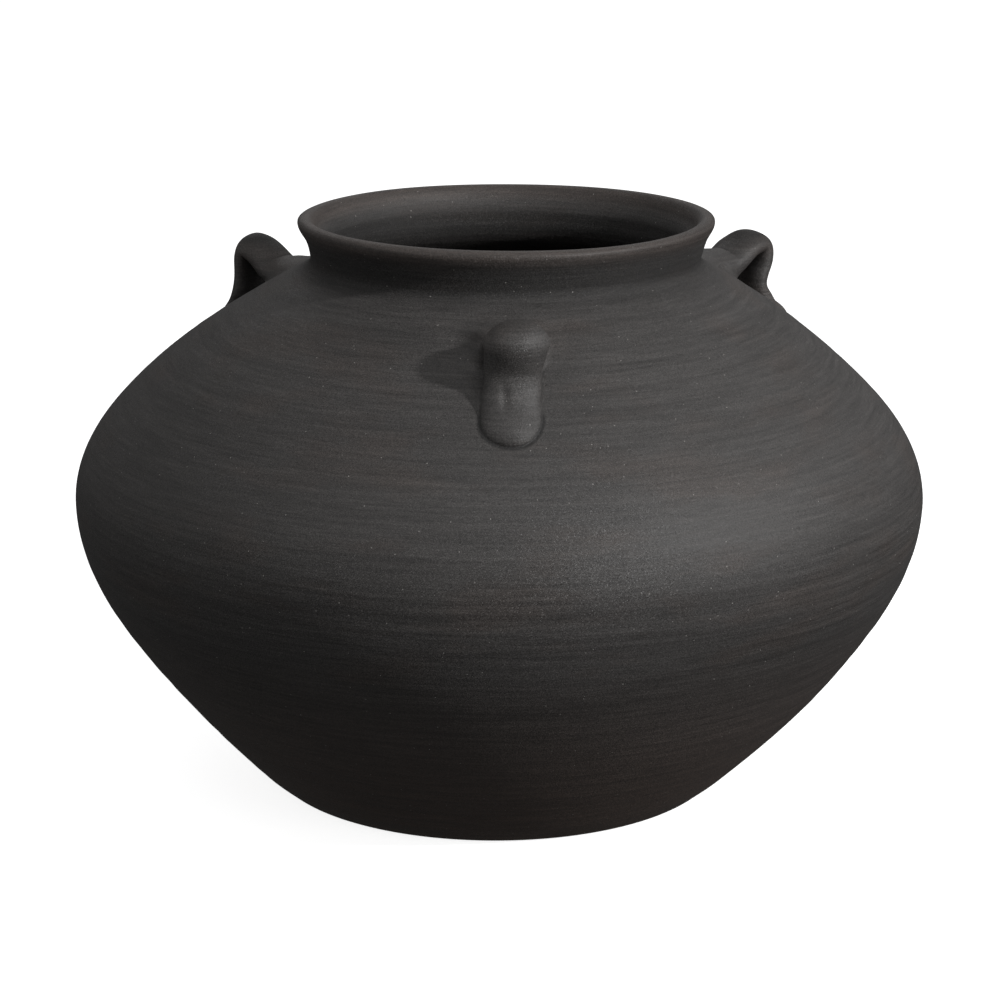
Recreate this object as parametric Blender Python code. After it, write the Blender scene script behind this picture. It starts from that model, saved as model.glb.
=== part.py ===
"""Barro negro olla: a round black clay pot with a short flared neck and three strap lugs.

The pot is modelled as a potter builds it. A flat base disc carries thick coils that open into a
bowl and a belly and close into a shoulder, a neck collar and a rolled lip. Each lug is a strap
of clay bent into a loop and luted onto the shoulder. Neighbouring pieces meet along a slip line.

Units are metres and +Z is up. The origin is the centre of the underside, where the pot stands.
"""

import math

import bmesh
import bpy

# Driving sizes of the turned wall
BELLY_RADIUS = 0.2025
BELLY_HEIGHT = 0.1410
POT_HEIGHT = 0.2728
FOOT_RADIUS = 0.1075
FOOT_ROUNDING = 0.0030
LIP_RADIUS = 0.0984
LIP_CREST_RADIUS = 0.0944
WALL = 0.0080
BASE_THICKNESS = 0.0100

# Stations on the outside of the wall: radius, height and slope. The slope is in degrees from the
# outward horizontal: 90 is an upright wall, less opens outwards and more closes inwards.
BASE_EDGE = (0.1192, 0.0101, 44.0)
BOWL_EDGE = (0.1840, 0.0869, 57.0)
BELLY = (BELLY_RADIUS, BELLY_HEIGHT, 90.0)
SHOULDER_EDGE = (0.1820, 0.1853, 132.5)
NECK_ROOT = (0.0995, 0.2469, 150.5)
THROAT = (0.0925, 0.2545, 80.0)
LIP_UNDERSIDE = (0.0948, 0.2628, 67.0)

# The lip rolls over its crest and runs down inside to the neck collar
LIP_WIDEST = (LIP_RADIUS, 0.2705, 90.0)
LIP_CREST = (LIP_CREST_RADIUS, POT_HEIGHT, 180.0)
LIP_INSIDE = (0.0892, 0.2678, 247.0)

# Seams between clay pieces: each one slopes down towards the inside, filled with slip
SEAM_LAP = 0.0060
SEAM_GAP = 0.0004
LUG_GAP = 0.0003

# The hand-built axis drifts sideways near the foot and near the neck
FOOT_DRIFT = -0.0020
FOOT_DRIFT_TOP = 0.060
NECK_DRIFT = 0.0030
NECK_DRIFT_BOTTOM = 0.195
NECK_DRIFT_TOP = 0.262

# Lug names and the bearings where the potter set them, in degrees from +X
LUG_BEARINGS = {"lug_front": -88.0, "lug_rear_right": 32.0, "lug_rear_left": 148.0}

# Lug strap in its own upright plane, from the root beside the neck, over the loop, to the tip of
# the foot: distance from the pot's axis, height, heading in degrees (0 is outwards and -90 is
# down), half width and half thickness
LUG_PATH = (
    (0.1040, 0.2355, 10.0, 0.0150, 0.0062),
    (0.1190, 0.2372, 4.0, 0.0150, 0.0074),
    (0.1294, 0.2394, 24.0, 0.0148, 0.0072),
    (0.1424, 0.2471, 2.0, 0.0140, 0.0048),
    (0.1487, 0.2408, -91.0, 0.0138, 0.0036),
    (0.1455, 0.2275, -93.0, 0.0130, 0.0030),
    (0.1535, 0.2130, -50.0, 0.0124, 0.0048),
    (0.1610, 0.2060, -43.0, 0.0104, 0.0042),
    (0.1645, 0.2026, -43.0, 0.0060, 0.0024),
)
LUG_SQUARENESS = 2.6

# Resolution of the turned pieces and of the lugs
RING_SEGMENTS = 48
LUG_SIDES = 14
LUG_STEPS = 4
SMOOTH_LIMIT = math.radians(35.0)
MERGE_DISTANCE = 1e-6

# Smoke-fired clay
BLACK_CLAY_COLOUR = (0.046, 0.044, 0.043)
BASE_SHADE = 0.90
LIP_SHADE = 1.08
LUG_SHADE = 1.05
WALL_ROUGHNESS = 0.55
LUG_ROUGHNESS = 0.62


def smooth_step(value, low, high):
    """Return 0 below low, 1 above high and a smooth rise between them."""
    share = min(max((value - low) / (high - low), 0.0), 1.0)
    return share * share * (3.0 - 2.0 * share)


def blend(first, second, share):
    """Value part of the way from the first to the second."""
    return first + (second - first) * share


def axis_drift(height):
    """Sideways offset of the pot's centre line at a height."""
    foot = FOOT_DRIFT * (1.0 - smooth_step(height, 0.0, FOOT_DRIFT_TOP))
    neck = NECK_DRIFT * smooth_step(height, NECK_DRIFT_BOTTOM, NECK_DRIFT_TOP)
    return foot + neck


def slide(station, distance):
    """Move a wall station along the wall."""
    radius, height, slope = station
    angle = math.radians(slope)
    return radius + distance * math.cos(angle), height + distance * math.sin(angle), slope


def inset(station, depth):
    """Move a wall station square to the wall, towards the inside of the pot."""
    radius, height, slope = station
    angle = math.radians(slope)
    return radius - depth * math.sin(angle), height + depth * math.cos(angle), slope


def arc_between(start, end, steps):
    """Points of a smooth curve that leaves start and reaches end at their own slopes."""
    (x0, z0, slope0), (x1, z1, slope1) = start, end
    turn = math.radians(slope1 - slope0)
    handle = math.hypot(x1 - x0, z1 - z0) / (3.0 * math.cos(turn / 4.0) ** 2)
    ax = x0 + handle * math.cos(math.radians(slope0))
    az = z0 + handle * math.sin(math.radians(slope0))
    bx = x1 - handle * math.cos(math.radians(slope1))
    bz = z1 - handle * math.sin(math.radians(slope1))
    points = []
    for step in range(steps + 1):
        t = step / steps
        s = 1.0 - t
        weights = (s ** 3, 3.0 * s * s * t, 3.0 * s * t * t, t ** 3)
        x = weights[0] * x0 + weights[1] * ax + weights[2] * bx + weights[3] * x1
        z = weights[0] * z0 + weights[1] * az + weights[2] * bz + weights[3] * z1
        points.append((x, z))
    return points


def halfway(start, end):
    """Station in the middle of the smooth curve between two stations."""
    before, middle, after = arc_between(start, end, 32)[15:18]
    slope = math.degrees(math.atan2(after[1] - before[1], after[0] - before[0]))
    return (*middle, slope)


def curve_through(stations, steps):
    """Points of a smooth curve through a chain of stations."""
    points = []
    for start, end in zip(stations, stations[1:]):
        points += arc_between(start, end, steps)[:-1]
    return points + [stations[-1][:2]]


def seam_end(station):
    """Inner end of the seam that starts at an outer station."""
    return slide(inset(station, WALL), -SEAM_LAP)


def ring_outline(stations, steps):
    """Closed outline of a wall ring between two seams."""
    half = SEAM_GAP / 2.0
    low, high = stations[0], stations[-1]
    middle = list(stations[1:-1])
    outer = [slide(low, half)] + middle + [slide(high, -half)]
    inner = [slide(seam_end(low), half)]
    inner += [inset(station, WALL) for station in middle]
    inner += [slide(seam_end(high), -half)]
    return curve_through(outer, steps) + curve_through(inner, steps)[::-1]


def base_outline():
    """Open outline of the base disc, from the axis underneath to the axis on top."""
    seam_outer = slide(BASE_EDGE, -SEAM_GAP / 2.0)
    seam_inner = slide(seam_end(BASE_EDGE), -SEAM_GAP / 2.0)
    corner = (FOOT_RADIUS - FOOT_ROUNDING, 0.0, 0.0)
    corner_top = (FOOT_RADIUS + 0.35 * FOOT_ROUNDING, 0.4 * FOOT_ROUNDING, BASE_EDGE[2] - 4.0)
    floor_edge = (seam_inner[0] - 1.5 * WALL, BASE_THICKNESS, 0.0)
    underside = [(0.0, 0.0)] + curve_through((corner, corner_top, seam_outer), 3)
    floor = arc_between(floor_edge, seam_inner, 3)[::-1]
    return underside + floor + [(0.0, BASE_THICKNESS)]


def lip_outline():
    """Closed outline of the rolled lip above its seam with the neck collar."""
    start = slide(LIP_UNDERSIDE, SEAM_GAP / 2.0)
    radius, height, slope = slide(seam_end(LIP_UNDERSIDE), SEAM_GAP / 2.0)
    end = (radius, height, slope + 180.0)
    return curve_through((start, LIP_WIDEST, LIP_CREST, LIP_INSIDE, end), 3)


def turn_outline(name, outline, closed):
    """Spin an outline round the pot's axis into one solid and let it follow the axis drift."""
    shape = bmesh.new()
    verts = [shape.verts.new((radius, 0.0, height)) for radius, height in outline]
    edges = [shape.edges.new(pair) for pair in zip(verts, verts[1:])]
    if closed:
        edges.append(shape.edges.new((verts[-1], verts[0])))
    bmesh.ops.spin(shape, geom=verts + edges, cent=(0.0, 0.0, 0.0), axis=(0.0, 0.0, 1.0),
                   angle=math.tau, steps=RING_SEGMENTS, use_merge=True, use_duplicate=False)
    bmesh.ops.remove_doubles(shape, verts=shape.verts, dist=MERGE_DISTANCE)
    for vert in shape.verts:
        vert.co.x += axis_drift(vert.co.z)
    return add_object(name, shape)


def add_object(name, shape):
    """Turn a bmesh into a smooth-shaded object with its faces pointing out."""
    bmesh.ops.recalc_face_normals(shape, faces=shape.faces)
    mesh = bpy.data.meshes.new(name)
    shape.to_mesh(mesh)
    shape.free()
    mesh.shade_smooth()
    mesh.set_sharp_from_angle(angle=SMOOTH_LIMIT)
    item = bpy.data.objects.new(name, mesh)
    bpy.context.scene.collection.objects.link(item)
    return item


def lug_stations():
    """Centre line of a lug: distance, height, heading, half width and half thickness."""
    stations = []
    for start, end in zip(LUG_PATH, LUG_PATH[1:]):
        points = arc_between(start[:3], end[:3], LUG_STEPS)[:-1]
        for step, point in enumerate(points):
            share = step / LUG_STEPS
            rest = [blend(start[item], end[item], share) for item in (2, 3, 4)]
            stations.append((*point, *rest))
    return stations + [LUG_PATH[-1]]


def strap_section(half_width, half_thick):
    """Rounded strap section as offsets across the strap and through its thickness."""
    power = 2.0 / LUG_SQUARENESS
    points = []
    for side in range(LUG_SIDES):
        angle = math.tau * side / LUG_SIDES
        across = math.copysign(abs(math.cos(angle)) ** power, math.cos(angle))
        through = math.copysign(abs(math.sin(angle)) ** power, math.sin(angle))
        points.append((half_width * across, half_thick * through))
    return points


def lug_loop(shape, station, bearing):
    """One ring of strap vertices square to the centre line."""
    distance, height, heading, half_width, half_thick = station
    tilt = math.radians(heading)
    loop = []
    for across, through in strap_section(half_width, half_thick):
        reach = distance - through * math.sin(tilt)
        level = height + through * math.cos(tilt)
        x = reach * math.cos(bearing) - across * math.sin(bearing) + axis_drift(level)
        y = reach * math.sin(bearing) + across * math.cos(bearing)
        loop.append(shape.verts.new((x, y, level)))
    return loop


def lug_strap(name, bearing):
    """Sweep the strap section along the lug's centre line in its own upright plane."""
    shape = bmesh.new()
    loops = [lug_loop(shape, station, bearing) for station in lug_stations()]
    for first, second in zip(loops, loops[1:]):
        for side in range(LUG_SIDES):
            following = (side + 1) % LUG_SIDES
            corners = (first[side], first[following], second[following], second[side])
            shape.faces.new(corners)
    shape.faces.new(loops[0])
    shape.faces.new(loops[-1][::-1])
    return add_object(name, shape)


def wall_rings():
    """Wall pieces above the base disc: stations from seam to seam, steps of a stretch, shade."""
    bowl_seam = halfway(BASE_EDGE, BOWL_EDGE)
    belly_seam = halfway(BOWL_EDGE, BELLY)
    coil_seam = halfway(BELLY, SHOULDER_EDGE)
    shoulder_seam = halfway(SHOULDER_EDGE, NECK_ROOT)
    return {
        "bowl_wall_lower": ((BASE_EDGE, bowl_seam), 4, 0.92),
        "bowl_wall_upper": ((bowl_seam, BOWL_EDGE), 4, 0.93),
        "belly_coil_lower": ((BOWL_EDGE, belly_seam), 4, 0.95),
        "belly_coil_upper": ((belly_seam, BELLY), 4, 0.97),
        "shoulder_coil_lower": ((BELLY, coil_seam), 4, 0.99),
        "shoulder_coil_upper": ((coil_seam, SHOULDER_EDGE), 4, 1.01),
        "shoulder_wall_lower": ((SHOULDER_EDGE, shoulder_seam), 4, 1.02),
        "shoulder_wall_upper": ((shoulder_seam, NECK_ROOT), 4, 1.03),
        "neck_collar": ((NECK_ROOT, THROAT, LIP_UNDERSIDE), 3, 0.98),
    }


def shoulder_guide():
    """Solid of the shoulder and everything inside it, a hair larger, used to trim the lugs."""
    rings = wall_rings()
    lower, steps, _ = rings["shoulder_wall_lower"]
    upper = rings["shoulder_wall_upper"][0]
    rim = curve_through([inset(station, -LUG_GAP) for station in (*lower, upper[-1])], steps)
    outline = [(0.0, rim[0][1])] + rim + [(0.0, rim[-1][1])]
    guide = turn_outline("guide_shoulder", outline, closed=False)
    guide.hide_render = True
    guide.display_type = "WIRE"
    return guide


def trim_with(item, guide):
    """Cut the guide's volume from an object."""
    cut = item.modifiers.new("seat_on_shoulder", "BOOLEAN")
    cut.operation = "DIFFERENCE"
    cut.solver = "EXACT"
    cut.object = guide


def fire(item, shade, roughness):
    """Give a piece its own smoke-fired clay."""
    material = bpy.data.materials.new("clay_" + item.name)
    material.use_nodes = True
    colour = [channel * shade for channel in BLACK_CLAY_COLOUR] + [1.0]
    surface = material.node_tree.nodes["Principled BSDF"]
    surface.inputs["Base Color"].default_value = colour
    surface.inputs["Roughness"].default_value = roughness
    surface.inputs["Metallic"].default_value = 0.0
    material.diffuse_color = colour
    material.roughness = roughness
    item.data.materials.append(material)


def build_wall():
    """Base disc, wall rings and lip."""
    fire(turn_outline("base_disc", base_outline(), closed=False), BASE_SHADE, WALL_ROUGHNESS)
    for name, (stations, steps, shade) in wall_rings().items():
        ring = turn_outline(name, ring_outline(stations, steps), closed=True)
        fire(ring, shade, WALL_ROUGHNESS)
    fire(turn_outline("lip_roll", lip_outline(), closed=True), LIP_SHADE, WALL_ROUGHNESS)


def build_lugs():
    """The three lugs, each trimmed to sit on the shoulder."""
    guide = shoulder_guide()
    for name, bearing in LUG_BEARINGS.items():
        lug = lug_strap(name, math.radians(bearing))
        trim_with(lug, guide)
        fire(lug, LUG_SHADE, LUG_ROUGHNESS)


def main():
    """Clear the scene and build the pot."""
    for item in list(bpy.data.objects):
        bpy.data.objects.remove(item, do_unlink=True)
    build_wall()
    build_lugs()


main()
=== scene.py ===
"""Looks of a barro negro olla: a round, smoke-blackened clay pot with three strap lugs.

Every CAD piece is dressed in a finer piece of its own. The wall is one continuous hand-turned skin,
cut where the CAD wall is cut, so its seams are smoothed over as a potter smooths them. Each lug is
a strap of soft clay that melts into the shoulder at its root and is pressed down at its foot. The
fired clay is one family of node materials in object space: sand grain, brushed streaks, smoke
clouds and a few light grits.

Units are metres and +Z is up. The origin is the centre of the underside.
"""

import math

import bpy
import numpy as np
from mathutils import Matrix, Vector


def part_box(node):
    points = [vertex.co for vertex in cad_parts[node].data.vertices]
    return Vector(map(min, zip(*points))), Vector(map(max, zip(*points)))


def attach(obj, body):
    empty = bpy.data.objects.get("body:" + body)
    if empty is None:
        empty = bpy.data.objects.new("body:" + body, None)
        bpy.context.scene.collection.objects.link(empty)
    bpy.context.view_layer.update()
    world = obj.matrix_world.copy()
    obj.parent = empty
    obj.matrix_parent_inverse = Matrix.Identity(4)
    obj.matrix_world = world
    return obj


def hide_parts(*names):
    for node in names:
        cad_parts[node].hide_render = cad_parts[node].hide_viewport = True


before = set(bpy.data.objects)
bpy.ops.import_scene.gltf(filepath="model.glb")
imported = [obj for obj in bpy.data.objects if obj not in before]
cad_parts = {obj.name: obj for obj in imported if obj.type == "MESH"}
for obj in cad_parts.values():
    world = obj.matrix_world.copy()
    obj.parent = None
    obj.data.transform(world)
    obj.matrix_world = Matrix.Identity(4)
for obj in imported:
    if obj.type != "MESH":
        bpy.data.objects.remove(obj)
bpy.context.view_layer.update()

# Driving sizes, read from the CAD pieces
POT_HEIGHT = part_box("lip_roll")[1].z
BELLY_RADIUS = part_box("belly_coil_upper")[1].x
LIP_RADIUS = (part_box("lip_roll")[1].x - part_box("lip_roll")[0].x) / 2.0
WALL = 0.0080
FLOOR_THICKNESS = 0.0100
SEAM_LAP = 0.0060

# Stations on the outside of the wall: radius, height and slope. The slope is in degrees from the
# outward horizontal: 90 is an upright wall, less opens outwards and more closes inwards.
UNDERSIDE = (0.0020, 0.0, 0.0)
FOOT_FLAT = (0.1045, 0.0, 0.0)
FOOT_CORNER = (0.10855, 0.0012, 40.0)
BASE_EDGE = (0.1192, 0.0101, 44.0)
BOWL_EDGE = (0.1840, 0.0869, 57.0)
BELLY_HEIGHT = 0.1410
BELLY = (BELLY_RADIUS, BELLY_HEIGHT, 90.0)
SHOULDER_EDGE = (0.1820, 0.1853, 132.5)
NECK_ROOT = (0.0995, 0.2469, 150.5)
THROAT = (0.0925, 0.2545, 80.0)
LIP_UNDERSIDE = (0.0948, 0.2628, 67.0)
LIP_WIDEST = (LIP_RADIUS, POT_HEIGHT - 0.0023, 90.0)
LIP_CREST = (LIP_RADIUS - 0.0040, POT_HEIGHT, 180.0)
LIP_INSIDE = (LIP_RADIUS - 0.0092, POT_HEIGHT - 0.0050, 247.0)
FLOOR_EDGE = (0.0970, FLOOR_THICKNESS, 180.0)
FLOOR_MIDDLE = (0.0020, FLOOR_THICKNESS, 180.0)

# The hand-built axis drifts sideways near the foot and near the neck, and the rim is a little
# higher at the two sides than at the front and the back
FOOT_DRIFT, FOOT_DRIFT_TOP = -0.0020, 0.060
NECK_DRIFT, NECK_DRIFT_BOTTOM, NECK_DRIFT_TOP = 0.0030, 0.195, 0.262
RIM_LIFT, RIM_LIFT_BOTTOM = 0.0004, 0.252

# Relief of the turned wall. Swells: lobes round the pot, turns per metre along the wall, height and
# phase. Ridges: spacing along the wall, lobes round the pot, height and phase. They come and go by
# the fade: lobes round the pot and radians per metre along the wall. The relief starts at the
# foot's corner, by distance along the section.
SWELLS = (
    (2, 1.6, 0.00024, 0.7),
    (3, -2.3, 0.00016, 2.1),
    (5, 3.9, 0.00009, 4.0),
    (1, 7.0, 0.00010, 1.2),
)
RIDGES = ((0.0172, 1, 0.000060, 0.4), (0.0113, -1, 0.000038, 2.6), (0.0079, 2, 0.000022, 5.1))
RELIEF_START, RELIEF_FULL = 0.106, 0.135
RIDGE_FADE_LOBES, RIDGE_FADE_RATE = 2.0, 31.0

# Spacing of rows along the wall, the pieces that need it fine outside, and sectors round the wall
ROW_OUTSIDE, ROW_FINE, ROW_INSIDE = 0.0015, 0.0007, 0.0040
FINE_PIECES = ("neck_collar", "shoulder_wall_upper")
SECTORS = 384

# Steps of the curve on which a seam halfway between two stations is found
HALFWAY_STEPS = 32

# Lug bearings in degrees from +X, how far each foot leans and each root spreads sideways, and the
# seed of its lumps
LUGS = {
    "lug_front": (-88.0, -0.0010, -0.0030, 11),
    "lug_rear_right": (32.0, -0.0010, 0.0, 23),
    "lug_rear_left": (148.0, -0.0006, 0.0, 37),
}

# Lug straps in their own upright planes, from the root beside the neck to the tip of the foot:
# distance from the axis, height, heading in degrees, half width, half thickness and crown
LUG_PATHS = {
    "lug_front": (
        (0.1040, 0.2330, 4.0, 0.0160, 0.0074, 0.0),
        (0.1190, 0.2335, 6.0, 0.0160, 0.0088, 0.0),
        (0.1300, 0.2350, 34.0, 0.0140, 0.0102, 0.0004),
        (0.1424, 0.2456, 4.0, 0.0146, 0.0058, 0.0050),
        (0.1488, 0.2396, -91.0, 0.0140, 0.0050, 0.0040),
        (0.1464, 0.2280, -86.0, 0.0122, 0.0050, 0.0012),
        (0.1504, 0.2150, -62.0, 0.0130, 0.0056, 0.0008),
        (0.1590, 0.2062, -37.0, 0.0139, 0.0058, 0.0008),
        (0.1662, 0.2016, -32.0, 0.0138, 0.0056, 0.0008),
    ),
    "lug_rear_right": (
        (0.1040, 0.2372, 6.0, 0.0170, 0.0062, 0.0),
        (0.1190, 0.2376, 4.0, 0.0160, 0.0074, 0.0),
        (0.1302, 0.2388, 36.0, 0.0142, 0.0070, 0.0),
        (0.1440, 0.2468, 2.0, 0.0134, 0.0056, 0.0006),
        (0.1481, 0.2396, -91.0, 0.0130, 0.0057, 0.0006),
        (0.1452, 0.2270, -88.0, 0.0124, 0.0052, 0.0002),
        (0.1500, 0.2165, -56.0, 0.0134, 0.0060, 0.0002),
        (0.1600, 0.2083, -38.0, 0.0140, 0.0058, 0.0002),
        (0.1668, 0.2028, -40.0, 0.0138, 0.0048, 0.0002),
    ),
    "lug_rear_left": (
        (0.1040, 0.2350, 2.0, 0.0170, 0.0062, 0.0),
        (0.1220, 0.2338, 4.0, 0.0156, 0.0070, 0.0),
        (0.1335, 0.2362, 46.0, 0.0134, 0.0062, 0.0),
        (0.1464, 0.2450, 2.0, 0.0118, 0.0060, 0.0036),
        (0.1497, 0.2383, -91.0, 0.0120, 0.0051, 0.0010),
        (0.1492, 0.2265, -89.0, 0.0120, 0.0044, 0.0002),
        (0.1530, 0.2142, -56.0, 0.0130, 0.0048, 0.0002),
        (0.1596, 0.2070, -40.0, 0.0134, 0.0044, 0.0002),
        (0.1636, 0.2034, -40.0, 0.0132, 0.0038, 0.0002),
    ),
}

# Squareness of the strap's section, rows from station to station, the length over which its tip
# rounds off, and the half widths over which its crown goes on falling away
LUG_SQUARENESS = 2.2
LUG_ROWS = 24
FOOT_ROUNDING = 0.0150
CROWN_LIMIT = 1.5

# Stations of the strap between which its foot starts to lean and its root stops spreading
LEAN_STATIONS, SPREAD_STATIONS = (3.5, 6.0), (1.2, 2.8)

# The groove that a finger pressed into the front of each foot: its middle station, its place and
# drift across the strap, its width, where it starts and ends, and its share of the thickness
GROOVE_STATION, GROOVE_PLACE, GROOVE_DRIFT, GROOVE_WIDTH = 5.4, -0.0036, 0.0012, 0.0021
GROOVE_START, GROOVE_END, GROOVE_DEPTH = (5.0, 5.6), (5.7, 6.7), 0.14

# Lumps left by the fingers: number of waves, their radians per metre, and their height
LUMP_WAVES, LUMP_RATES, LUMP_HEIGHT = 7, (260.0, 620.0), 0.00007

# How the strap melts into the wall: widely at the root, hardly at the foot
ROOT_MELT_LEFT, ROOT_MELT_RIGHT, FOOT_MELT = 0.0130, 0.0090, 0.0010
MELT_CHANGE = 0.0100
MELT_ROOT_END, MELT_FOOT_START = 0.1220, 0.1520

# The skin of melted clay round a strap: how far it stands proud of the wall, how deep it reaches
# into it and how far past the melt it goes. Below the blend its shading turns into the wall's, down
# to where the wall hides it.
LUG_PROUD, LUG_DEPTH, LUG_SKIRT = 0.00003, 0.0018, 0.0016
LUG_BLEND, LUG_HIDDEN = 0.0004, -0.0005

# Painted shade in the crease round a foot, where the shadow under its edge falls: how far it
# climbs, how wide it is, where it starts, how dark it is
CREASE_LIFT, CREASE_SPREAD, CREASE_REACH = (0.0003, 0.0013), (0.0008, 0.0020), (0.1490, 0.1550)
PAINTED_CREASE_SHADE = 0.75

# Grid on which a lug is shaped: reach from the axis, width either side, and heights
LUG_CELL = 0.0006
LUG_REACH, LUG_SIDES, LUG_HEIGHTS = (0.092, 0.176), (-0.0340, 0.0300), (0.188, 0.2570)

# Tables of distances in a lug's upright plane: cells of the wall's and the lug's, reach, heights
TABLE_CELL, LUG_TABLE_CELL = 0.0004, 0.0003
TABLE_REACH, TABLE_HEIGHTS = (0.080, 0.182), (0.178, 0.2680)

# How points of the net settle on the exact surface: rounds, least squared slope, cells per round
SETTLE_ROUNDS, SETTLE_SLOPE, SETTLE_CELLS = 2, 0.25, 0.5

# Fired clay, linear colour: the smoke-black body, its warmer patches, its light grits, whose colour
# also serves the painted highlight on the glinting sand, and the painted shade in its pits
CLAY_COOL = (0.0478, 0.0467, 0.0461)
CLAY_WARM = (0.0650, 0.0465, 0.0380)
GRIT_AND_GLINT = (0.4200, 0.4000, 0.3800)
PIT_SHADE = (0.0060, 0.0060, 0.0060)

# Noises of the clay: turns per metre along X, Y and Z, detail and roughness. Most values of a noise
# lie in the range.
NOISES = {
    "grain": ((1500.0, 1500.0, 3000.0), 1.0, 0.6),
    "streaks": ((12.0, 12.0, 560.0), 3.0, 0.65),
    "brushing": ((48.0, 48.0, 1150.0), 2.0, 0.6),
    "bands": ((5.0, 5.0, 95.0), 2.0, 0.5),
    "clouds": ((8.0, 8.0, 13.0), 3.0, 0.5),
    "warmth": ((17.0, 17.0, 60.0), 3.0, 0.5),
    "facets": ((2400.0, 2400.0, 4000.0), 1.0, 0.5),
}
NOISE_RANGE = (0.3, 0.7)

# How much lighter and darker each noise makes the clay, the painted shade on the neck under the
# lip's overhang, and the painted light that lightens the lugs
TONE_CHANGES = {"clouds": 0.10, "bands": 0.06, "streaks": 0.24, "brushing": 0.18, "grain": 0.40}
NECK_PAINTED_SHADE, LUG_PAINTED_LIGHT = 0.45, 1.1

# The edges by height of the neck under the lip, which gets painted shade, more roughness and more
# scratches, and the share of warm clay at the foot, at the brim and in the patches: a range of
# heights or of noise, and the values at its two ends
NECK_BOTTOM, NECK_TOP = (0.2455, 0.2520, 0.0, 1.0), (0.2600, 0.2665, 1.0, 0.0)
FOOT_WARMTH, BRIM_WARMTH = (0.020, 0.110, 0.95, 0.12), (0.2620, 0.2690, 0.0, 0.5)
PATCH_WARMTH = (0.42, 0.66, 0.0, 0.34)

# Grits and pits: cells per metre, size in a cell, the chances that make one, and their strength;
# the strength of a pit is how much painted shade darkens it
SPECK_RATE, SPECK_SIZE, GRIT_CHANCE, PIT_CHANCE = 300.0, 0.085, 0.77, 0.08
GRIT_SHARE, PIT_PAINTED_SHADE = 0.60, 0.80

# Glinting sand: cells per metre, least and greatest size in a cell, the chance that makes one, and
# how much a painted highlight lightens its colour, and how much smoother and less tilted it is
SAND_RATE, SAND_SIZES, GLINT_CHANCE = 2600.0, (0.35, 0.65), 0.50
GLINT_PAINTED_HIGHLIGHT, GLINT_POLISH, GLINT_STEADINESS = 0.025, 0.09, 0.5

# Roughness across the streaks, its change with the grain, and what the neck under the lip adds
ROUGHNESS, GRAIN_ROUGHNESS, NECK_ROUGHNESS = (0.55, 0.63), 0.05, 0.22

# Relief of the surface in millimetres, how much more the neck is scratched, and how far the faces
# of the sand grains lean
STREAK_HEIGHT, BRUSHING_HEIGHT, BAND_HEIGHT, PIT_DEPTH = 0.080, 0.040, 0.10, 0.10
NECK_SCRATCHES = 1.2
FACET_LEAN = 1.20

# Material slot of each piece
SLOTS = {
    "base_disc": "clay_base",
    "bowl_wall_lower": "clay_lower_wall",
    "bowl_wall_upper": "clay_lower_wall",
    "belly_coil_lower": "clay_lower_wall",
    "belly_coil_upper": "clay_lower_wall",
    "shoulder_coil_lower": "clay_upper_wall",
    "shoulder_coil_upper": "clay_upper_wall",
    "shoulder_wall_lower": "clay_upper_wall",
    "shoulder_wall_upper": "clay_upper_wall",
    "neck_collar": "clay_neck",
    "lip_roll": "clay_lip",
    "lug_front": "clay_lugs",
    "lug_rear_right": "clay_lugs",
    "lug_rear_left": "clay_lugs",
}

# Camera: distance, degrees above level, the point it looks at, and its lens and sensor in mm
CAMERA_DISTANCE = 1.4487
CAMERA_PITCH = 15.0
CAMERA_AIM = (0.0003, 0.0, 0.1339)
CAMERA_LENS, CAMERA_SENSOR = 108.0, 36.0

# Square softboxes aimed at the pot: azimuth to the right of the front and elevation in degrees,
# distance and size in metres, and power in watts
SOFTBOXES = {
    "key": (56.0, 28.0, 2.4, 0.12, 30.0),
    "key_wrap": (48.0, 10.0, 1.8, 1.1, 6.5),
    "top": (25.0, 65.0, 1.8, 0.6, 3.0),
    "fill": (-40.0, 45.0, 1.8, 1.2, 2.2),
    "side": (110.0, 30.0, 1.8, 0.6, 1.8),
    "back": (180.0, 30.0, 2.2, 1.2, 2.4),
    "left": (-75.0, 15.0, 1.8, 1.2, 1.1),
}
SOFTBOX_AIM = (0.0, 0.0, 0.15)

# Room light by the upward part of a direction: a range, and the brightness at its two ends
ROOM_LIGHT = (-0.12, 0.42, 0.062, 0.235)

# The paper floor: half its side, its colour, its glow and its roughness
FLOOR_REACH = 9.0
PAPER, PAPER_GLOW_COLOUR = (0.9, 0.9, 0.9), (1.0, 1.0, 1.0)
PAPER_GLOW, PAPER_ROUGHNESS = 0.85, 0.9


def smooth_step(value, low, high):
    """Return 0 below low, 1 above high and a smooth rise between them."""
    share = np.clip((value - low) / (high - low), 0.0, 1.0)
    return share * share * (3.0 - 2.0 * share)


def axis_drift(height):
    """Sideways offset of the pot's centre line at a height."""
    foot = FOOT_DRIFT * (1.0 - smooth_step(height, 0.0, FOOT_DRIFT_TOP))
    return foot + NECK_DRIFT * smooth_step(height, NECK_DRIFT_BOTTOM, NECK_DRIFT_TOP)


# ---------------------------------------------------------------- section of the wall


def heading(slope):
    """Unit vector of a slope in the section, as radius and height."""
    return np.array((math.cos(math.radians(slope)), math.sin(math.radians(slope))))


def arc_between(start, end, spacing):
    """Points of a smooth curve that leaves start and reaches end at their own slopes."""
    first, last = np.array(start[:2]), np.array(end[:2])
    chord = np.linalg.norm(last - first)
    handle = chord / (3.0 * math.cos(math.radians(end[2] - start[2]) / 4.0) ** 2)
    t = np.linspace(0.0, 1.0, max(2, round(chord / spacing)) + 1)[:, None]
    s = 1.0 - t
    leave, reach = first + handle * heading(start[2]), last - handle * heading(end[2])
    return s ** 3 * first + 3.0 * s * s * t * leave + 3.0 * s * t * t * reach + t ** 3 * last


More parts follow.
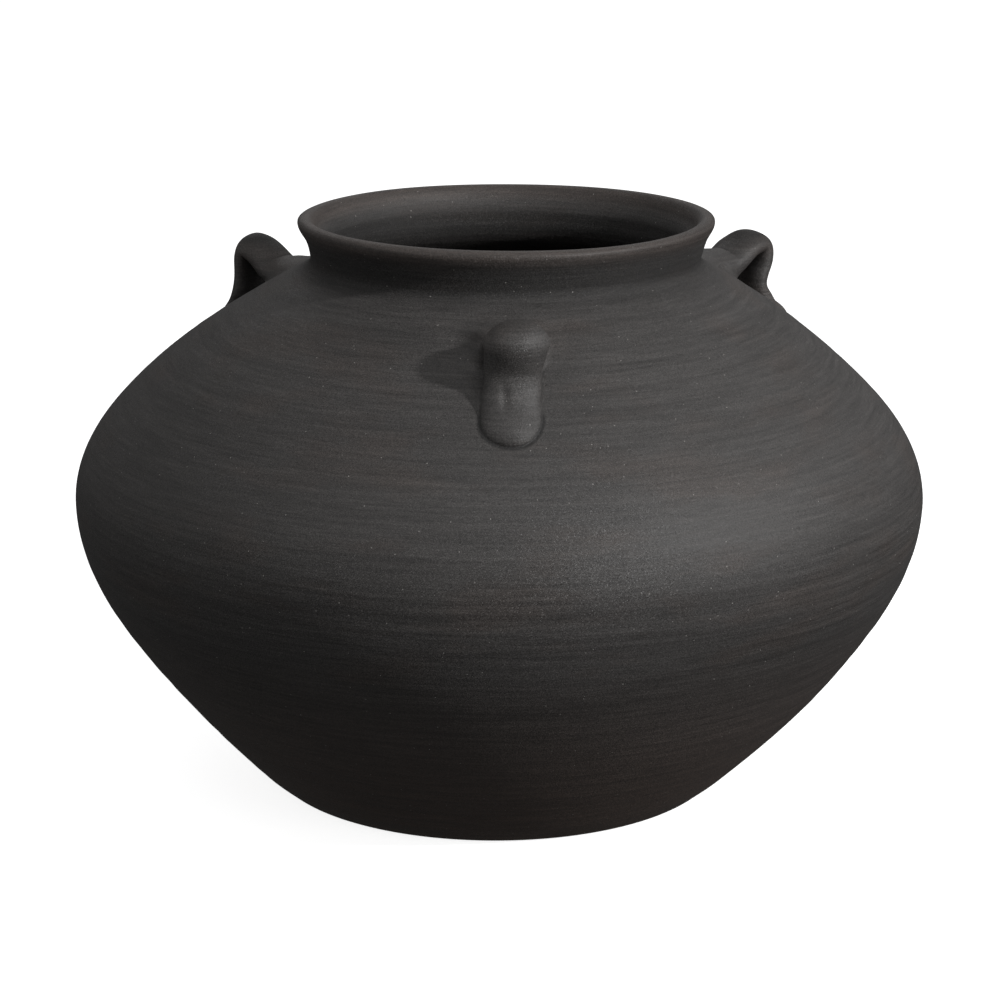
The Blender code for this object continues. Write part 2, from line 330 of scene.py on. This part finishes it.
def halfway(start, end):
    """Station in the middle of the smooth curve between two stations."""
    chord = math.hypot(end[0] - start[0], end[1] - start[1])
    half = HALFWAY_STEPS // 2
    before, middle, after = arc_between(start, end, chord / HALFWAY_STEPS)[half - 1:half + 2]
    return (*middle, math.degrees(math.atan2(after[1] - before[1], after[0] - before[0])))


def inside_of(station):
    """Station on the inside of the wall, square to one outside and running back down."""
    radius, height, slope = station
    along, across = heading(slope), heading(slope - 90.0)
    place = np.array((radius, height)) - WALL * across
    return (*place, slope + 180.0), (*(place - SEAM_LAP * along), slope + 180.0)


def wall_stations():
    """Stations of each wall piece above the base disc, from seam to seam."""
    bowl_seam = halfway(BASE_EDGE, BOWL_EDGE)
    belly_seam = halfway(BOWL_EDGE, BELLY)
    coil_seam = halfway(BELLY, SHOULDER_EDGE)
    shoulder_seam = halfway(SHOULDER_EDGE, NECK_ROOT)
    return {
        "bowl_wall_lower": (BASE_EDGE, bowl_seam),
        "bowl_wall_upper": (bowl_seam, BOWL_EDGE),
        "belly_coil_lower": (BOWL_EDGE, belly_seam),
        "belly_coil_upper": (belly_seam, BELLY),
        "shoulder_coil_lower": (BELLY, coil_seam),
        "shoulder_coil_upper": (coil_seam, SHOULDER_EDGE),
        "shoulder_wall_lower": (SHOULDER_EDGE, shoulder_seam),
        "shoulder_wall_upper": (shoulder_seam, NECK_ROOT),
        "neck_collar": (NECK_ROOT, THROAT, LIP_UNDERSIDE),
    }


def inner_stations(stations):
    """Stations of a wall piece's inside, from its upper seam down to its lower one."""
    middle = [inside_of(station)[0] for station in stations[1:-1]]
    return (inside_of(stations[-1])[1], *middle[::-1], inside_of(stations[0])[1])


def section_runs():
    """Runs of the pot's section in order: up the outside, over the lip and down the inside."""
    walls = wall_stations()
    runs = [("base_disc", (UNDERSIDE, FOOT_FLAT), ROW_INSIDE),
            ("base_disc", (FOOT_FLAT, FOOT_CORNER, BASE_EDGE), ROW_FINE)]
    for node, stations in walls.items():
        runs.append((node, stations, ROW_FINE if node in FINE_PIECES else ROW_OUTSIDE))
    lip_end = inside_of(LIP_UNDERSIDE)[1]
    runs.append(("lip_roll", (LIP_UNDERSIDE, LIP_WIDEST, LIP_CREST, LIP_INSIDE, lip_end), ROW_FINE))
    for node, stations in reversed(walls.items()):
        spacing = ROW_OUTSIDE if node == "neck_collar" else ROW_INSIDE
        runs.append((node, inner_stations(stations), spacing))
    floor_start = inside_of(BASE_EDGE)[1]
    runs.append(("base_disc", (floor_start, FLOOR_EDGE, FLOOR_MIDDLE), ROW_INSIDE))
    return runs


def clay_section():
    """Points of the whole section, and the spans of them that each piece covers."""
    points = [np.array([UNDERSIDE[:2]])]
    spans, count = {}, 1
    for node, stations, spacing in section_runs():
        for start, end in zip(stations, stations[1:]):
            stretch = arc_between(start, end, spacing)[1:]
            points.append(stretch)
            covered = spans.setdefault(node, [])
            if covered and covered[-1][1] == count - 1:
                covered[-1] = (covered[-1][0], count - 1 + len(stretch))
            else:
                covered.append((count - 1, count - 1 + len(stretch)))
            count += len(stretch)
    return np.concatenate(points), spans


def distance_along(section):
    """Length of the section up to each of its points."""
    steps = np.linalg.norm(np.diff(section, axis=0), axis=1)
    return np.concatenate(([0.0], np.cumsum(steps)))


def hand_relief(angle, along):
    """Height of the hand-made relief: slow swells and faint turning ridges that come and go."""
    relief = np.zeros(np.broadcast(angle, along).shape)
    for lobes, turns, height, phase in SWELLS:
        relief += height * np.sin(lobes * angle + math.tau * turns * along + phase)
    for spacing, lobes, height, phase in RIDGES:
        fading = RIDGE_FADE_LOBES * angle + RIDGE_FADE_RATE * along + 3.0 * phase
        fade = 0.5 + 0.5 * np.sin(fading)
        relief += height * fade * np.sin(math.tau * along / spacing + lobes * angle + phase)
    return relief * smooth_step(along, RELIEF_START, RELIEF_FULL)


def turned_skin(section):
    """Points and normals of the whole skin, as rows along the section and sectors round it."""
    run = np.gradient(section, axis=0)
    run /= np.linalg.norm(run, axis=1)[:, None]
    angle = math.tau * np.arange(SECTORS) / SECTORS
    relief = hand_relief(angle[None, :], distance_along(section)[:, None])
    radius = section[:, :1] + relief * run[:, 1:]
    height = section[:, 1:] - relief * run[:, :1]
    height += RIM_LIFT * np.cos(2.0 * angle) * smooth_step(height, RIM_LIFT_BOTTOM, POT_HEIGHT)
    x = radius * np.cos(angle) + axis_drift(height)
    points = np.stack((x, radius * np.sin(angle), height), axis=-1)
    round_step = np.roll(points, -1, axis=1) - np.roll(points, 1, axis=1)
    normals = np.cross(round_step, np.gradient(points, axis=0))
    return points, normals / np.linalg.norm(normals, axis=-1)[..., None]


# ---------------------------------------------------------------- meshes


def add_piece(name, points, faces, corner_normals, material):
    """Make a shown piece from points and faces, shaded by one normal per face corner."""
    mesh = bpy.data.meshes.new(name)
    mesh.from_pydata(points.tolist(), [], faces)
    mesh.shade_smooth()
    mesh.normals_split_custom_set(corner_normals.tolist())
    mesh.materials.append(material)
    piece = bpy.data.objects.new(name, mesh)
    bpy.context.scene.collection.objects.link(piece)
    return piece


def ring_quads(rows, closed):
    """Quads between successive rows of a turned piece, outside face first."""
    lower = np.arange(rows if closed else rows - 1)
    upper = (lower + 1) % rows
    sector = np.arange(SECTORS)
    following = (sector + 1) % SECTORS
    corners = [lower[:, None] * SECTORS + sector, lower[:, None] * SECTORS + following,
               upper[:, None] * SECTORS + following, upper[:, None] * SECTORS + sector]
    return np.stack(corners, axis=-1)


def face_normals(points, faces):
    """Normal of each quad, from its diagonals."""
    a, b, c, d = (points[faces[..., corner]] for corner in range(4))
    normals = np.cross(c - a, d - b)
    return normals / np.linalg.norm(normals, axis=-1)[..., None]


def closing_fans(points):
    """Middles of the underside and the floor, the triangles round them, and their normals."""
    axis = points[0, 0] - UNDERSIDE[0]
    middles = np.array([(axis, 0.0, 0.0), (axis, 0.0, FLOOR_THICKNESS)])
    count, sector = len(points), np.arange(SECTORS)
    following, top = (sector + 1) % SECTORS, count - SECTORS
    below = np.stack((following, sector, np.full(SECTORS, count)), axis=-1)
    above = np.stack((top + sector, top + following, np.full(SECTORS, count + 1)), axis=-1)
    flat = np.repeat([(0.0, 0.0, -1.0), (0.0, 0.0, 1.0)], 3 * SECTORS, axis=0)
    return middles, below.tolist() + above.tolist(), flat


def turned_piece(node, spans, skin, normals, material):
    """The part of the skin over the given spans, closed by its seams or at the pot's axis."""
    rows = np.concatenate([np.arange(first, last + 1) for first, last in spans])
    closed = node != "base_disc"
    points, bends = skin[rows].reshape(-1, 3), normals[rows].reshape(-1, 3)
    quads = ring_quads(len(rows), closed)
    corner_normals = bends[quads]
    seams = [len(rows) - 1] if closed else []
    seams += [last - first for first, last in spans[:-1]]
    for seam in seams:
        corner_normals[seam] = face_normals(points, quads[seam])[:, None, :]
    faces, corner_normals = quads.reshape(-1, 4).tolist(), corner_normals.reshape(-1, 3)
    if not closed:
        middles, fans, flat = closing_fans(points)
        points, faces = np.concatenate((points, middles)), faces + fans
        corner_normals = np.concatenate((corner_normals, flat))
    return add_piece("fired_" + node, points, faces, corner_normals, material)


# ---------------------------------------------------------------- lugs


def nearest_on_path(path, first, second):
    """Position along a chain of points, and the offsets through it and past its ends."""
    best = np.full(np.broadcast(first, second).shape, np.inf)
    share, through, past = (np.zeros(best.shape) for _ in range(3))
    last = len(path) - 2
    for number, (start, end) in enumerate(zip(path, path[1:])):
        step = end - start
        length = np.linalg.norm(step)
        ahead = ((first - start[0]) * step[0] + (second - start[1]) * step[1]) / length
        aside = ((second - start[1]) * step[0] - (first - start[0]) * step[1]) / length
        held = np.clip(ahead, 0.0, length)
        apart = (ahead - held) ** 2 + aside ** 2
        closer = apart < best
        best = np.where(closer, apart, best)
        share = np.where(closer, number + held / length, share)
        beyond = ((number == 0) & (ahead < 0.0)) | ((number == last) & (ahead > length))
        offset = np.where(beyond, aside, np.copysign(np.sqrt(apart), aside))
        through = np.where(closer, offset, through)
        past = np.where(closer, np.where(beyond, ahead - held, 0.0), past)
    return share, through, past


def lug_line(stations):
    """Centre line of a lug, with its half width, half thickness and crown at each point."""
    points = []
    for start, end in zip(stations, stations[1:]):
        chord = math.hypot(end[0] - start[0], end[1] - start[1])
        points.append(arc_between(start[:3], end[:3], chord / LUG_ROWS)[:-1])
    points = np.concatenate((*points, [stations[-1][:2]]))
    window = np.hanning(LUG_ROWS + 3)[1:-1]
    sizes = []
    for values in np.array(stations)[:, 3:].T:
        stepped = np.interp(np.arange(len(points)), np.arange(len(stations)) * LUG_ROWS, values)
        padded = np.pad(stepped, LUG_ROWS // 2, mode="edge")
        sizes.append(np.convolve(padded, window / window.sum(), mode="valid"))
    return points, np.stack(sizes, axis=-1)


class PathTable:
    """Where places in an upright plane lie beside a chain of points, looked up in a table."""

    def __init__(self, path, cell):
        self.cell = cell
        self.reaches = np.arange(*TABLE_REACH, cell)
        self.heights = np.arange(*TABLE_HEIGHTS, cell)
        near = nearest_on_path(path, self.reaches[:, None], self.heights[None, :])
        self.share, self.through, self.past = near

    def look_up(self, table, reach, height):
        """Value of a table at any place, between its cells."""
        column = np.clip((reach - self.reaches[0]) / self.cell, 0.0, len(self.reaches) - 1.001)
        line = np.clip((height - self.heights[0]) / self.cell, 0.0, len(self.heights) - 1.001)
        i, j = column.astype(int), line.astype(int)
        u, v = column - i, line - j
        lower = table[i, j] * (1.0 - u) + table[i + 1, j] * u
        upper = table[i, j + 1] * (1.0 - u) + table[i + 1, j + 1] * u
        return lower * (1.0 - v) + upper * v


class Wall:
    """The outside of the shoulder and the neck, as a distance with the hand-made relief."""

    def __init__(self, section):
        crest = int(np.argmax(section[:, 1]))
        rows = np.arange(crest)
        rows = rows[section[:crest, 1] > BELLY_HEIGHT]
        self.table = PathTable(section[rows], TABLE_CELL)
        lengths = distance_along(section)[rows]
        self.along = np.interp(self.table.share, np.arange(len(rows)), lengths)
        through, past = self.table.through, self.table.past
        self.distance = -np.copysign(np.hypot(through, past), through)

    def distance_from(self, reach, across, height, bearing):
        """Distance outside the wall at a place beside a lug's plane."""
        radius, height = np.broadcast_arrays(np.hypot(reach, across), height)
        angle = bearing + np.arctan2(across, reach)
        relief = hand_relief(angle, self.table.look_up(self.along, radius, height))
        return self.table.look_up(self.distance, radius, height) - relief


class Lug:
    """One strap lug as a field: below zero inside its clay, in its own reach, width and height."""

    def __init__(self, node, wall):
        bearing, self.lean, self.spread, seed = LUGS[node]
        self.bearing, self.wall = math.radians(bearing), wall
        path, self.sizes = lug_line(LUG_PATHS[node])
        self.table = PathTable(path, LUG_TABLE_CELL)
        self.lengths = distance_along(path)
        self.length = self.lengths[-1]
        chance = np.random.default_rng(seed)
        self.waves = chance.normal(0.0, 1.0, (LUMP_WAVES, 3))
        rates = chance.uniform(*LUMP_RATES, LUMP_WAVES)
        self.waves *= (rates / np.linalg.norm(self.waves, axis=1))[:, None]
        self.phases = chance.uniform(0.0, math.tau, LUMP_WAVES)

    def lumps(self, reach, across, height):
        """Small unevenness left by the fingers."""
        total = 0.0
        for (first, second, third), phase in zip(self.waves, self.phases):
            total = total + np.sin(first * reach + second * across + third * height + phase)
        return LUMP_HEIGHT * total

    def strap(self, reach, across, height):
        """Distance from the strap alone, taken from the level of its rounded-box section."""
        table = self.table
        share, through, past = (table.look_up(values, reach, height)
                                for values in (table.share, table.through, table.past))
        numbers = np.arange(len(self.sizes))
        half_width, half_thick, crown = (np.interp(share, numbers, size) for size in self.sizes.T)
        station = share / LUG_ROWS
        middle = across - self.lean * smooth_step(station, *LEAN_STATIONS)
        middle = middle - self.spread * (1.0 - smooth_step(station, *SPREAD_STATIONS))
        ahead = np.interp(share, numbers, self.lengths) + past - self.length + FOOT_ROUNDING
        ahead = np.maximum(ahead, 0.0) * (past >= 0.0) / FOOT_ROUNDING
        wide = np.hypot(middle / half_width, ahead)
        through = through + crown * np.minimum(wide, CROWN_LIMIT) ** 2
        half_thick = half_thick * (1.0 - self.finger_groove(station, middle) * (through > 0.0))
        thick = np.abs(through) / half_thick
        power = LUG_SQUARENESS
        level = (wide ** power + thick ** power + 1e-9) ** (1.0 / power)  # never quite zero
        slope = np.hypot(wide ** (power - 1.0) / half_width, thick ** (power - 1.0) / half_thick)
        gap = (level - 1.0) * level ** (power - 1.0) / (slope + 1e-6)
        gap = np.hypot(np.maximum(gap, 0.0), np.minimum(past, 0.0)) + np.minimum(gap, 0.0)
        return gap - self.lumps(reach, across, height)

    @staticmethod
    def finger_groove(station, across):
        """Share of the strap's thickness pressed away on its outer face."""
        aside = across - GROOVE_PLACE - GROOVE_DRIFT * (station - GROOVE_STATION)
        groove = np.exp(-(aside / GROOVE_WIDTH) ** 2)
        length = smooth_step(station, *GROOVE_START) * (1.0 - smooth_step(station, *GROOVE_END))
        return GROOVE_DEPTH * groove * length

    def field(self, reach, across, height):
        """Below zero inside the lug's clay: strap and wall melted together, less the wall."""
        strap = self.strap(reach, across, height)
        wall = self.wall.distance_from(reach, across, height, self.bearing)
        rightness = smooth_step(across, -MELT_CHANGE, MELT_CHANGE)
        footness = smooth_step(reach, MELT_ROOT_END, MELT_FOOT_START)
        root_melt = ROOT_MELT_LEFT + (ROOT_MELT_RIGHT - ROOT_MELT_LEFT) * rightness
        melt = root_melt + (FOOT_MELT - root_melt) * footness
        proud = wall - LUG_PROUD
        near = np.maximum(melt - np.abs(strap - proud), 0.0) / melt
        joined = np.minimum(strap, proud) - near ** 3 * melt / 6.0
        return np.maximum(np.maximum(joined, -(wall + LUG_DEPTH)), strap - melt - LUG_SKIRT)

    def to_own(self, points):
        """World places as reach, width and height of this lug."""
        y, height = points[..., 1], points[..., 2]
        x = points[..., 0] - axis_drift(height)
        cosine, sine = math.cos(self.bearing), math.sin(self.bearing)
        return x * cosine + y * sine, y * cosine - x * sine, height

    def to_world(self, reach, across, height):
        """Places of this lug in the world."""
        cosine, sine = math.cos(self.bearing), math.sin(self.bearing)
        x = reach * cosine - across * sine + axis_drift(height)
        return np.stack((x, reach * sine + across * cosine, height), axis=-1)


def slope_of(function, points, step=0.00005):
    """Gradient of a function of world places."""
    slopes = []
    for axis in range(3):
        shift = np.zeros(3)
        shift[axis] = step
        slopes.append((function(points + shift) - function(points - shift)) / (2.0 * step))
    return np.stack(slopes, axis=-1)


def unit(vectors):
    """The vectors at length one."""
    return vectors / (np.linalg.norm(vectors, axis=-1)[:, None] + 1e-12)  # never divides by zero


def surface_net(field):
    """Net over the zero level of a sampled field: one point in each cell that the level crosses."""
    size = np.array(field.shape) - 1
    hits, places = np.zeros(size), np.zeros((*size, 3))
    crossings = []
    for axis in range(3):
        low, high = [slice(None)] * 3, [slice(None)] * 3
        low[axis], high[axis] = slice(None, -1), slice(1, None)
        start, end = field[tuple(low)], field[tuple(high)]
        crossed = (start < 0.0) != (end < 0.0)
        share = np.where(crossed, start / np.where(crossed, start - end, 1.0), 0.0)
        crossings.append((crossed, start < 0.0))
        second, third = (axis + 1) % 3, (axis + 2) % 3
        for up in (0, 1):
            for out in (0, 1):
                window = [slice(None)] * 3
                window[second] = slice(up, up + size[second])
                window[third] = slice(out, out + size[third])
                here = crossed[tuple(window)]
                hits += here
                places[..., axis] += share[tuple(window)]
                places[..., second] += up * here
                places[..., third] += out * here
    active = hits > 0
    numbers = np.full(size, -1)
    numbers[active] = np.arange(active.sum())
    points = np.argwhere(active) + places[active] / hits[active][:, None]
    quads = [net_quads(axis, *crossings[axis], numbers, size) for axis in range(3)]
    return points, np.concatenate(quads)


def net_quads(axis, crossed, starts_inside, numbers, size):
    """Quads of the net across the crossed grid edges along one axis."""
    second, third = (axis + 1) % 3, (axis + 2) % 3
    edges = np.argwhere(crossed)
    kept = np.ones(len(edges), bool)
    for side in (second, third):
        kept &= (edges[:, side] > 0) & (edges[:, side] < size[side])
    edges = edges[kept]
    up, out = np.eye(3, dtype=int)[second], np.eye(3, dtype=int)[third]
    cells = [edges, edges - up, edges - up - out, edges - out]
    quads = np.stack([numbers[tuple(cell.T)] for cell in cells], axis=-1)
    outward = starts_inside[tuple(edges.T)]
    quads[~outward] = quads[~outward][:, ::-1]
    return quads


def lug_piece(node, lug, material):
    """Net a lug's field, settle its points on the exact surface and fair its edge into the wall."""
    reach = np.arange(*LUG_REACH, LUG_CELL)
    across = np.arange(*LUG_SIDES, LUG_CELL)
    height = np.arange(*LUG_HEIGHTS, LUG_CELL)
    samples = lug.field(reach[:, None, None], across[None, :, None], height[None, None, :])
    places, quads = surface_net(samples)
    places = places * LUG_CELL + np.array((reach[0], across[0], height[0]))
    points = lug.to_world(*places.T)

    def clay(spots):
        return lug.field(*lug.to_own(spots))

    def wall(spots):
        own = lug.to_own(spots)
        return lug.wall.distance_from(*own, lug.bearing)

    for _ in range(SETTLE_ROUNDS):
        slopes = slope_of(clay, points)
        square = np.maximum((slopes ** 2).sum(axis=-1), SETTLE_SLOPE)
        move = (clay(points) / square)[:, None] * slopes
        points = points - np.clip(move, -SETTLE_CELLS * LUG_CELL, SETTLE_CELLS * LUG_CELL)
    normals = unit(slope_of(clay, points))
    lift = wall(points)
    share = smooth_step(lift, LUG_PROUD, LUG_BLEND)[:, None]
    flush = (lift > LUG_HIDDEN)[:, None] & (share < 1.0)
    blended = normals * share + slope_of(wall, points) * (1.0 - share)
    normals = unit(np.where(flush, blended, normals))[quads].reshape(-1, 3)
    piece = add_piece("fired_" + node, points, quads.tolist(), normals, material)
    own = lug.to_own(points)
    # Painted shade: the clay is darkened in the crease round the foot, where the shadow under its
    # edge falls
    painted_crease_shade = 1.0 - smooth_step(lift, *CREASE_LIFT)
    painted_crease_shade *= 1.0 - smooth_step(lug.strap(*own), *CREASE_SPREAD)
    painted_crease_shade *= PAINTED_CREASE_SHADE * smooth_step(own[0], *CREASE_REACH)
    piece.data.attributes.new("painted_crease_shade", "FLOAT", "POINT").data.foreach_set("value", painted_crease_shade)
    return piece


# ---------------------------------------------------------------- clay


class Nodes:
    """Short way to add and join the nodes of one tree."""

    def __init__(self, tree):
        self.tree = tree

    def feed(self, socket, value):
        """Link a socket to another one, or set its value. A colour is given without its alpha."""
        if isinstance(value, bpy.types.NodeSocket):
            self.tree.links.new(value, socket)
        elif socket.type == "RGBA":
            socket.default_value = (*value, 1.0)
        else:
            socket.default_value = value

    def add(self, kind, inputs=None, **properties):
        """Add a node with its properties, and feed its inputs by number or name."""
        node = self.tree.nodes.new(kind)
        for name, value in properties.items():
            setattr(node, name, value)
        for socket, value in (inputs or {}).items():
            self.feed(node.inputs[socket], value)
        return node

    def maths(self, operation, first, second):
        """Result of an operation on two values or sockets."""
        return self.add("ShaderNodeMath", {0: first, 1: second}, operation=operation).outputs[0]

    def vectors(self, operation, *values):
        """Result of an operation on vectors."""
        node = self.add("ShaderNodeVectorMath", dict(enumerate(values)), operation=operation)
        return node.outputs[0]

    def spread(self, value, low, high, to_low, to_high):
        """Map a range of values to another one."""
        numbers = dict(enumerate((value, low, high, to_low, to_high)))
        return self.add("ShaderNodeMapRange", numbers).outputs[0]

    def mix(self, share, first, second):
        """Mix two colours."""
        node = self.add("ShaderNodeMix", data_type="RGBA")
        inputs = {socket.identifier: socket for socket in node.inputs}
        for name, value in (("Factor_Float", share), ("A_Color", first), ("B_Color", second)):
            self.feed(inputs[name], value)
        return {socket.identifier: socket for socket in node.outputs}["Result_Color"]


class Clay(Nodes):
    """Smoke-fired clay with sand grain, brushed streaks, smoke clouds, light grits and pits."""

    def __init__(self, slot, painted_light):
        self.material = bpy.data.materials.new(slot)
        self.material.use_nodes = True
        super().__init__(self.material.node_tree)
        self.place = self.add("ShaderNodeTexCoord").outputs["Object"]
        noises = {name: self.noise(*settings) for name, settings in NOISES.items()}
        self.facets = noises.pop("facets").outputs["Color"]
        self.noises = {name: noise.outputs[0] for name, noise in noises.items()}
        self.height = self.add("ShaderNodeSeparateXYZ", {0: self.place}).outputs[2]
        self.neck = self.maths("MULTIPLY", self.spread(self.height, *NECK_BOTTOM),
                               self.spread(self.height, *NECK_TOP))
        self.add_specks()
        surface = self.tree.nodes["Principled BSDF"]
        self.feed(surface.inputs["Base Color"], self.colour(painted_light))
        self.feed(surface.inputs["Roughness"], self.roughness())
        self.feed(surface.inputs["Normal"], self.normal())

    def noise(self, stretch, detail, roughness):
        """Noise in object space, stretched by turns per metre along X, Y and Z."""
        mapping = self.add("ShaderNodeMapping", {"Vector": self.place, "Scale": stretch})
        settings = {"Scale": 1.0, "Detail": detail, "Roughness": roughness}
        return self.add("ShaderNodeTexNoise", {"Vector": mapping.outputs[0], **settings})

    def cells(self, rate):
        """Distance from the nearest of scattered points, its colour, and two of its channels."""
        cells = self.add("ShaderNodeTexVoronoi", {"Vector": self.place, "Scale": rate})
        colour = cells.outputs["Color"]
        channels = self.add("ShaderNodeSeparateColor", {0: colour}).outputs
        return cells.outputs["Distance"], colour, channels[0], channels[1]

    def add_specks(self):
        """Masks of the grits, the pits and the glinting sand."""
        distance, _, chance, _ = self.cells(SPECK_RATE)
        close = self.maths("LESS_THAN", distance, SPECK_SIZE)
        self.grits = self.maths("MULTIPLY", close, self.maths("GREATER_THAN", chance, GRIT_CHANCE))
        self.pits = self.maths("MULTIPLY", close, self.maths("LESS_THAN", chance, PIT_CHANCE))
        distance, self.sand_colour, chance, size = self.cells(SAND_RATE)
        close = self.maths("LESS_THAN", distance, self.spread(size, 0.0, 1.0, *SAND_SIZES))
        self.glint = self.maths("MULTIPLY", close, self.maths("GREATER_THAN", chance, GLINT_CHANCE))

    def colour(self, painted_light):
        """Cool clay with warm patches, toned by every noise, with painted shade on the neck and in
        the crease round each foot, painted light on the lugs, the specks, and a painted highlight
        on the glinting sand.
        """
        edges = self.maths("MAXIMUM", self.spread(self.height, *FOOT_WARMTH),
                           self.spread(self.height, *BRIM_WARMTH))
        patches = self.spread(self.noises["warmth"], *PATCH_WARMTH)
        clay = self.mix(self.maths("MAXIMUM", patches, edges), CLAY_COOL, CLAY_WARM)
        # Painted shade darkens the neck under the lip's overhang, and painted light lightens the
        # lugs
        tone = self.spread(self.neck, 0.0, 1.0, painted_light, NECK_PAINTED_SHADE * painted_light)
        for name, change in TONE_CHANGES.items():
            lighter = self.spread(self.noises[name], *NOISE_RANGE, 1.0 - change, 1.0 + change)
            tone = self.maths("MULTIPLY", tone, lighter)
        # Painted shade in the crease round each lug's foot
        painted_crease_shade = self.add("ShaderNodeAttribute", attribute_name="painted_crease_shade").outputs["Fac"]
        tone = self.maths("MULTIPLY", tone, self.maths("SUBTRACT", 1.0, painted_crease_shade))
        toned = self.add("ShaderNodeVectorMath", {0: clay, "Scale": tone}, operation="SCALE")
        # Painted highlight: the glinting sand is lightened towards the grit colour
        colour = self.mix(self.maths("MULTIPLY", self.glint, GLINT_PAINTED_HIGHLIGHT), toned.outputs[0], GRIT_AND_GLINT)
        colour = self.mix(self.maths("MULTIPLY", self.grits, GRIT_SHARE), colour, GRIT_AND_GLINT)
        # Painted shade in the dents of the pits
        return self.mix(self.maths("MULTIPLY", self.pits, PIT_PAINTED_SHADE), colour, PIT_SHADE)

    def roughness(self):
        """Matt everywhere, most of all on the neck and least on the glinting sand."""
        streaks = self.spread(self.noises["streaks"], *NOISE_RANGE, *ROUGHNESS)
        grain = self.spread(self.noises["grain"], *NOISE_RANGE, -GRAIN_ROUGHNESS, GRAIN_ROUGHNESS)
        rough = self.maths("ADD", streaks, grain)
        rough = self.maths("SUBTRACT", rough, self.maths("MULTIPLY", self.glint, GLINT_POLISH))
        return self.maths("ADD", rough, self.maths("MULTIPLY", self.neck, NECK_ROUGHNESS))

    def normal(self):
        """The faces of the sand grains, over the relief of streaks, brushing, bands and pits."""
        steady = self.mix(GLINT_STEADINESS, self.sand_colour, (0.5, 0.5, 0.5))
        lean = self.vectors("MULTIPLY_ADD", self.mix(self.glint, self.facets, steady),
                            (FACET_LEAN,) * 3, (-0.5 * FACET_LEAN,) * 3)
        true_normal = self.add("ShaderNodeNewGeometry").outputs["Normal"]
        grains = self.vectors("NORMALIZE", self.vectors("ADD", true_normal, lean))
        scratches = self.maths("ADD", 1.0, self.maths("MULTIPLY", self.neck, NECK_SCRATCHES))
        relief = self.maths("MULTIPLY", self.noises["streaks"], scratches)
        relief = self.maths("MULTIPLY", relief, STREAK_HEIGHT)
        for source, height in ((self.noises["brushing"], BRUSHING_HEIGHT),
                               (self.noises["bands"], BAND_HEIGHT), (self.pits, -PIT_DEPTH)):
            relief = self.maths("ADD", relief, self.maths("MULTIPLY", source, height))
        settings = {"Strength": 1.0, "Distance": 0.001}
        bump = self.add("ShaderNodeBump", {"Height": relief, "Normal": grains, **settings})
        return bump.outputs[0]


# ---------------------------------------------------------------- the pot


def build_pot():
    """Dress every CAD piece and let the dressed pieces stand for them."""
    clays = {}
    for slot in sorted(set(SLOTS.values())):
        # The lugs' clay is lightened by painted light
        clays[slot] = Clay(slot, LUG_PAINTED_LIGHT if slot == "clay_lugs" else 1.0).material
    section, spans = clay_section()
    skin, normals = turned_skin(section)
    pieces = {}
    for node, covered in spans.items():
        pieces[node] = turned_piece(node, covered, skin, normals, clays[SLOTS[node]])
    wall = Wall(section)
    for node in LUGS:
        pieces[node] = lug_piece(node, Lug(node, wall), clays[SLOTS[node]])
    for node, piece in pieces.items():
        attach(piece, "root")
        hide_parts(node)


# ---------------------------------------------------------------- studio


def add_camera():
    """Camera at the photograph's viewing angle."""
    data = bpy.data.cameras.new("camera")
    data.lens, data.sensor_width = CAMERA_LENS, CAMERA_SENSOR
    camera = bpy.data.objects.new("camera", data)
    pitch = math.radians(CAMERA_PITCH)
    aside, _, height = CAMERA_AIM
    camera.location = (aside, -CAMERA_DISTANCE * math.cos(pitch),
                       height + CAMERA_DISTANCE * math.sin(pitch))
    camera.rotation_euler = (math.radians(90.0) - pitch, 0.0, 0.0)
    bpy.context.scene.collection.objects.link(camera)
    bpy.context.scene.camera = camera


def add_softbox(name, azimuth, elevation, distance, size, power):
    """Square soft light aimed at the pot."""
    data = bpy.data.lights.new(name, "AREA")
    data.size, data.energy = size, power
    light = bpy.data.objects.new(name, data)
    turn, rise = math.radians(azimuth), math.radians(elevation)
    level = math.cos(rise)
    back = np.array((math.sin(turn) * level, -math.cos(turn) * level, math.sin(rise)))
    light.location = np.array(SOFTBOX_AIM) + distance * back
    light.rotation_euler = (math.radians(90.0) - rise, 0.0, turn)
    bpy.context.scene.collection.objects.link(light)


def add_floor():
    """Plain pale floor that glows, so that it is as white as the photograph's background."""
    corners = [(side * FLOOR_REACH, end * FLOOR_REACH, 0.0)
               for side, end in ((-1, -1), (1, -1), (1, 1), (-1, 1))]
    mesh = bpy.data.meshes.new("floor")
    mesh.from_pydata(corners, [], [(0, 1, 2, 3)])
    floor = bpy.data.objects.new("floor", mesh)
    material = bpy.data.materials.new("floor_paper")
    material.use_nodes = True
    nodes = Nodes(material.node_tree)
    surface = nodes.tree.nodes["Principled BSDF"]
    for name, value in (("Base Color", PAPER), ("Roughness", PAPER_ROUGHNESS),
                        ("Emission Color", PAPER_GLOW_COLOUR), ("Emission Strength", PAPER_GLOW)):
        nodes.feed(surface.inputs[name], value)
    floor.visible_diffuse = floor.visible_glossy = False
    mesh.materials.append(material)
    bpy.context.scene.collection.objects.link(floor)


def add_world():
    """Soft room light, brighter from above than from below."""
    world = bpy.data.worlds.new("room")
    world.use_nodes = True
    nodes = Nodes(world.node_tree)
    direction = nodes.add("ShaderNodeTexCoord").outputs["Generated"]
    upward = nodes.add("ShaderNodeSeparateXYZ", {0: direction}).outputs[2]
    background = nodes.tree.nodes["Background"]
    nodes.feed(background.inputs["Color"], nodes.spread(upward, *ROOM_LIGHT))
    bpy.context.scene.world = world


def build_studio():
    """Camera, floor and soft lights."""
    add_camera()
    add_floor()
    add_world()
    for name, settings in SOFTBOXES.items():
        add_softbox(name, *settings)
    bpy.context.scene.view_settings.view_transform = "Standard"


build_pot()
build_studio()
